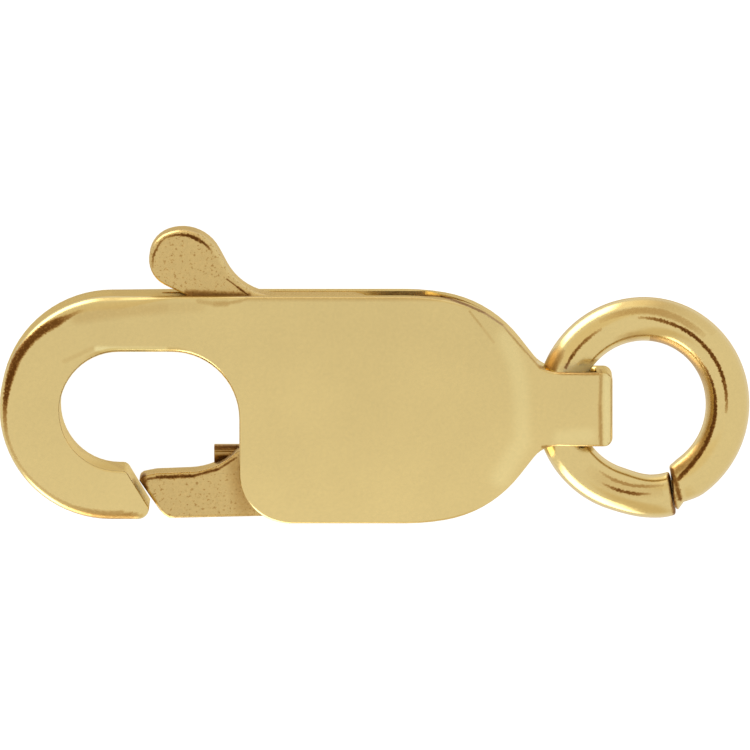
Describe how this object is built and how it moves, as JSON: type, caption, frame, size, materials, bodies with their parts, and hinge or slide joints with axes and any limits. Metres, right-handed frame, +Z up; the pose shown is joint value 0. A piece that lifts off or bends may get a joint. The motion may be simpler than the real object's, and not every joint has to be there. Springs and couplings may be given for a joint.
{
  "type": "lobster clasp with jump ring",
  "caption": "Flat yellow gold lobster clasp with a spring-loaded trigger, a thumb tab on its long edge and a bail that holds a round jump ring.",
  "frame": {"origin": "centre of the object's footprint, on the surface that the clasp lies on", "axes": "+X from the hook to the jump ring, +Z up through the front plate, +Y towards the thumb tab"},
  "size_m": [0.015, 0.0058, 0.0022],
  "materials": {
    "case": "polished yellow gold with a fine satin grain on the plates and bright rounded edges",
    "trigger": "satin yellow gold, slightly pitted on the thumb tab, tarnished brown at its root",
    "rivet": "plain yellow gold",
    "spring": "unpolished spring metal with a brown tarnish",
    "jump_ring": "bright polished yellow gold wire with sheared ends"
  },
  "bodies": {
    "case": {"case": "case", "rivet": "rivet"},
    "trigger": {"trigger": "trigger", "spring": "spring"},
    "jump_ring": {"jump_ring": "jump_ring"}
  },
  "joints": [
    {"name": "trigger_pivot", "type": "hinge", "parent": "case", "child": "trigger", "pos_m": [-0.00051, -0.00044, 0.0011], "axis": [0, 0, -1], "range_deg": [0, 22], "stiffness_Nm_per_rad": 0.005, "springref_deg": -5.73},
    {"name": "ring_swing", "type": "hinge", "parent": "case", "child": "jump_ring", "pos_m": [0.00365, -0.00064, 0.0011], "axis": [0, -1, 0], "range_deg": [-74, 96]}
  ]
}
